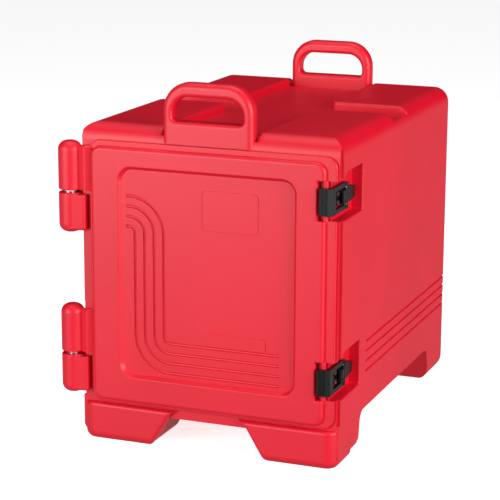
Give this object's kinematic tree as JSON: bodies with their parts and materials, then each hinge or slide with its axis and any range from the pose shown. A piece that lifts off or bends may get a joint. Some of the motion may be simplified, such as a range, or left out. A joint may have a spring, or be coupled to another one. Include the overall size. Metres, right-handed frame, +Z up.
{
  "type": "insulated food carrier",
  "caption": "Front-loading insulated box for full-size food pans, with a side-hinged door, draw latches, moulded feet, stacking channels and two grab handles.",
  "frame": {"origin": "bottom centre of the closed carrier's bounding box, on the floor the feet stand on", "axes": "+Z up, the door faces -Y, +X to the right seen from the front, so the hinges are on the -X side and the latches on the +X side"},
  "size_m": [0.498, 0.662, 0.623],
  "materials": {
    "red_shell": "satin",
    "foam": "matte",
    "black_nylon": "satin",
    "stainless": "satin",
    "bush_plastic": "satin",
    "insert_brass": "satin",
    "gasket": "matte"
  },
  "bodies": {
    "carrier": {"body_foam": "foam", "body_shell": "red_shell", "hinge_pin_lower": "stainless", "hinge_pin_upper": "stainless", "latch_base_lower": "black_nylon", "latch_base_upper": "black_nylon", "latch_inserts_lower": "insert_brass", "latch_inserts_upper": "insert_brass", "latch_pivot_pin_lower": "stainless", "latch_pivot_pin_upper": "stainless", "latch_screws_lower": "stainless", "latch_screws_upper": "stainless", "thrust_washer_lower": "stainless", "thrust_washer_upper": "stainless"},
    "door": {"door_foam": "foam", "door_gasket": "gasket", "door_shell": "red_shell", "hinge_bush_lower": "bush_plastic", "hinge_bush_upper": "bush_plastic"},
    "latch_lever_arm_upper": {"latch_lever_upper": "black_nylon", "latch_draw_pin_upper": "stainless"},
    "latch_draw_frame_upper": {"latch_hook_upper": "black_nylon"},
    "latch_lever_arm_lower": {"latch_lever_lower": "black_nylon", "latch_draw_pin_lower": "stainless"},
    "latch_draw_frame_lower": {"latch_hook_lower": "black_nylon"}
  },
  "joints": [
    {"name": "door_hinge", "type": "hinge", "parent": "carrier", "child": "door", "pos_m": [-0.229, -0.311, 0.3], "axis": [0, 0, -1], "range_deg": [0, 270]},
    {"name": "latch_lever_upper_pivot", "type": "hinge", "parent": "carrier", "child": "latch_lever_arm_upper", "pos_m": [0.238, -0.273, 0.449], "axis": [0, 0, -1], "range_deg": [0, 150]},
    {"name": "latch_hook_upper_pivot", "type": "hinge", "parent": "latch_lever_arm_upper", "child": "latch_draw_frame_upper", "pos_m": [0.236, -0.255, 0.449], "axis": [0, 0, 1], "range_deg": [0, 180]},
    {"name": "latch_lever_lower_pivot", "type": "hinge", "parent": "carrier", "child": "latch_lever_arm_lower", "pos_m": [0.238, -0.273, 0.151], "axis": [0, 0, -1], "range_deg": [0, 150]},
    {"name": "latch_hook_lower_pivot", "type": "hinge", "parent": "latch_lever_arm_lower", "child": "latch_draw_frame_lower", "pos_m": [0.236, -0.255, 0.151], "axis": [0, 0, 1], "range_deg": [0, 180]}
  ],
  "couplings": [
    {"joint": "latch_hook_upper_pivot", "follows": "latch_lever_upper_pivot", "ratio": 1.2},
    {"joint": "latch_hook_lower_pivot", "follows": "latch_lever_lower_pivot", "ratio": 1.2}
  ]
}
